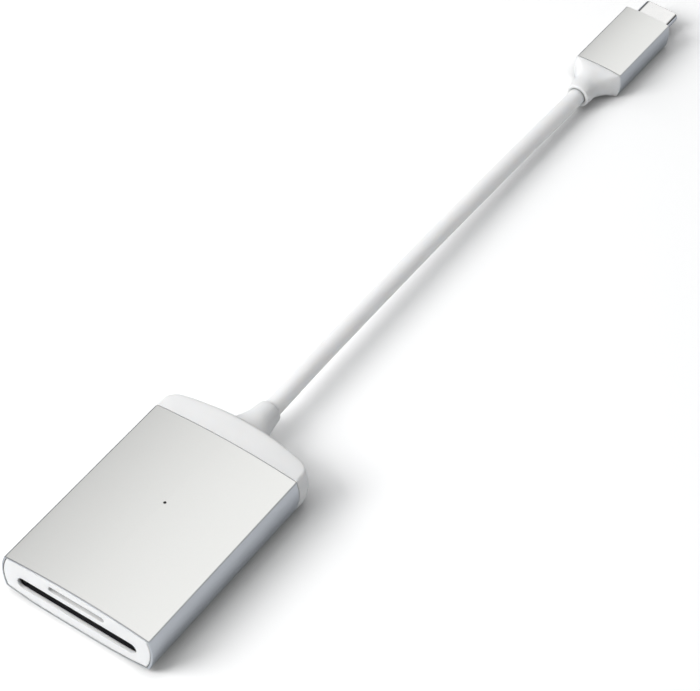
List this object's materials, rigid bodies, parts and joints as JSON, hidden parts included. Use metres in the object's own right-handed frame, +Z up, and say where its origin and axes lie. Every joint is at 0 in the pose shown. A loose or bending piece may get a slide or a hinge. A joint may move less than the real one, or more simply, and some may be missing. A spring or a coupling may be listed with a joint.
{
  "type": "usb card reader",
  "caption": "Small aluminium card reader with a full-size card slot, a push-push small card slot, a white rear cap and a captive white lead with a USB-C plug.",
  "frame": {"origin": "middle of the reader body's footprint, on the surface that it stands on", "axes": "+Z up; -Y is the face with the card slots, and +Y is the cable horn and the lead"},
  "size_m": [0.034, 0.2104, 0.0102],
  "materials": {
    "aluminium_sleeve": "bead blasted",
    "white_plastic": "satin",
    "white_lead": "matte",
    "black_plastic": "matte",
    "chip_package": "matte",
    "spring_steel": "satin",
    "plug_steel": "polished",
    "gold_contact": "plated",
    "circuit_board": "solder mask",
    "ceramic": "matte",
    "clear_plastic": "clear",
    "wire_red": "satin",
    "wire_white": "satin",
    "wire_green": "satin",
    "wire_black": "satin"
  },
  "bodies": {
    "reader": {"housing_sleeve": "aluminium_sleeve", "front_bezel": "white_plastic", "rear_cap": "white_plastic", "inner_tray": "black_plastic", "main_board": "circuit_board", "sd_base": "black_plastic", "sd_shell": "spring_steel", "sd_contact_1": "gold_contact", "sd_contact_2": "gold_contact", "sd_contact_3": "gold_contact", "sd_contact_4": "gold_contact", "sd_contact_5": "gold_contact", "sd_contact_6": "gold_contact", "sd_contact_7": "gold_contact", "sd_contact_8": "gold_contact", "sd_contact_9": "gold_contact", "card_detect_blade": "gold_contact", "write_protect_blade": "gold_contact", "micro_base": "black_plastic", "micro_shell": "spring_steel", "micro_contact_1": "gold_contact", "micro_contact_2": "gold_contact", "micro_contact_3": "gold_contact", "micro_contact_4": "gold_contact", "micro_contact_5": "gold_contact", "micro_contact_6": "gold_contact", "micro_contact_7": "gold_contact", "micro_contact_8": "gold_contact", "eject_spring": "spring_steel", "controller_chip": "chip_package", "clock_crystal": "spring_steel", "inductor": "chip_package", "capacitor_1": "ceramic", "capacitor_2": "ceramic", "capacitor_3": "ceramic", "led_chip": "clear_plastic", "light_pipe": "clear_plastic", "lead_anchor": "white_plastic", "wire_1": "wire_red", "wire_2": "wire_white", "wire_3": "wire_green", "wire_4": "wire_black", "lead": "white_lead", "plug_sleeve": "aluminium_sleeve", "plug_boot": "white_plastic", "plug_lead_anchor": "white_plastic", "plug_nose": "white_plastic", "usb_c_shell": "plug_steel", "usb_c_insulator": "black_plastic", "usb_c_contacts_upper": "gold_contact", "usb_c_contacts_lower": "gold_contact", "usb_c_latch_plate": "spring_steel", "plug_board": "circuit_board", "plug_chip": "chip_package"},
    "slider": {"micro_slider": "white_plastic"},
    "cam_link": {"cam_pin": "spring_steel"}
  },
  "joints": [
    {"name": "card_push", "type": "slide", "parent": "reader", "child": "slider", "axis": [0, 1, 0], "range_m": [0, 0.0039], "stiffness_N_per_m": 150, "deforming": ["eject_spring"]},
    {"name": "cam_link_turn", "type": "hinge", "parent": "reader", "child": "cam_link", "pos_m": [0.00672, -0.02729, 0.0077], "axis": [0, 0, 1], "range_deg": [-3.4, 0]}
  ],
  "couplings": [
    {"joint": "cam_link_turn", "follows": "card_push", "rad_per_m": -14.94}
  ]
}
